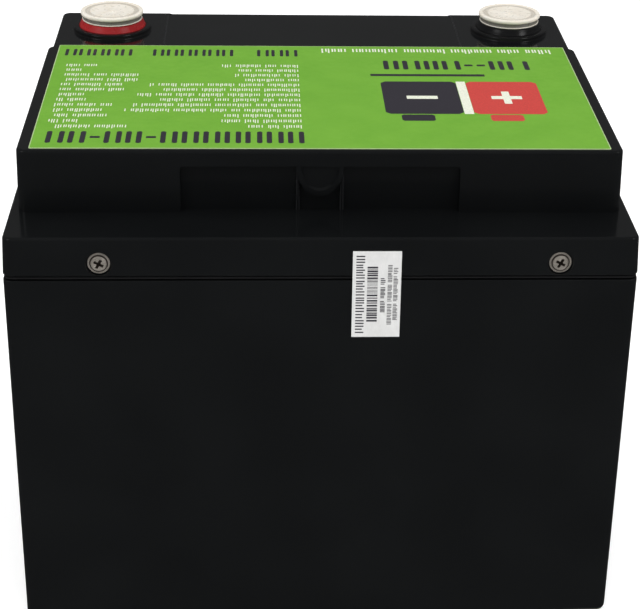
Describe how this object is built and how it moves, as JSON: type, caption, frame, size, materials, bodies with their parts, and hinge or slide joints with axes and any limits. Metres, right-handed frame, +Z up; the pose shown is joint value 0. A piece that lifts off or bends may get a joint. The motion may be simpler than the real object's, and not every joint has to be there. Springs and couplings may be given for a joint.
{
  "type": "deep cycle battery",
  "caption": "Boxy sealed lithium deep cycle battery with a stepped screwed lid, top label and two capped terminals with threaded bores.",
  "frame": {"origin": "centre of the base, on the surface that the battery stands on", "axes": "+X along the length towards the negative terminal, +Y towards the terminal side, +Z up"},
  "size_m": [0.198, 0.1661, 0.169],
  "materials": {
    "case_black": "semi-gloss moulded",
    "seal_black": "matt",
    "screw_steel": "nickel plated",
    "brass": "turned",
    "label_green": "printed satin film",
    "seal_paper": "paper-like film",
    "pole_red": "semi-gloss",
    "pole_black": "semi-gloss",
    "cap_milky": "translucent",
    "cell_can": "wrapped in blue film",
    "aluminium": "satin",
    "sheet_insulator": "satin",
    "plate_black": "matt",
    "strap_steel": "satin",
    "foam": "matt closed-cell foam",
    "heater_silicone": "matt",
    "copper": "satin",
    "tray_plastic": "matt",
    "board_green": "solder mask",
    "chip_black": "matt epoxy",
    "module_blue": "solder mask",
    "connector_white": "nylon",
    "wire_grey": "silicone",
    "wire_red": "silicone",
    "wire_black": "silicone"
  },
  "bodies": {
    "root": {"container": "case_black", "lid": "case_black", "lid_gasket": "seal_black", "lid_screws": "screw_steel", "screw_inserts": "brass", "top_label": "label_green", "warranty_seal": "seal_paper", "terminal_positive": "brass", "terminal_negative": "brass", "terminal_ring_positive": "pole_red", "terminal_ring_negative": "pole_black", "terminal_collar_positive": "pole_black", "terminal_collar_negative": "pole_black", "terminal_gaskets": "seal_black", "terminal_nuts": "brass", "cell_1": "cell_can", "cell_2": "cell_can", "cell_3": "cell_can", "cell_4": "cell_can", "cell_posts": "aluminium", "cell_vents": "aluminium", "cell_insulators": "sheet_insulator", "end_plates": "plate_black", "pack_straps": "strap_steel", "foam_pads": "foam", "base_pad": "foam", "heater_mat": "heater_silicone", "busbars": "copper", "busbar_nuts": "screw_steel", "bms_tray": "tray_plastic", "bms_board": "board_green", "bms_mosfets": "chip_black", "bms_heatsink": "aluminium", "bms_components": "chip_black", "bms_screws": "screw_steel", "bluetooth_module": "module_blue", "balance_connector": "connector_white", "balance_harness": "wire_grey", "temperature_sensor": "connector_white", "lead_positive": "wire_red", "lead_negative": "wire_black", "lead_bms": "wire_black", "lead_lugs": "screw_steel"},
    "positive_cap": {"cap_positive": "cap_milky"},
    "negative_cap": {"cap_negative": "cap_milky"}
  },
  "joints": [
    {"name": "cap_positive_lift", "type": "slide", "parent": "root", "child": "positive_cap", "axis": [0, 0, 1], "range_m": [0, 0.06]},
    {"name": "cap_negative_lift", "type": "slide", "parent": "root", "child": "negative_cap", "axis": [0, 0, 1], "range_m": [0, 0.06]}
  ]
}
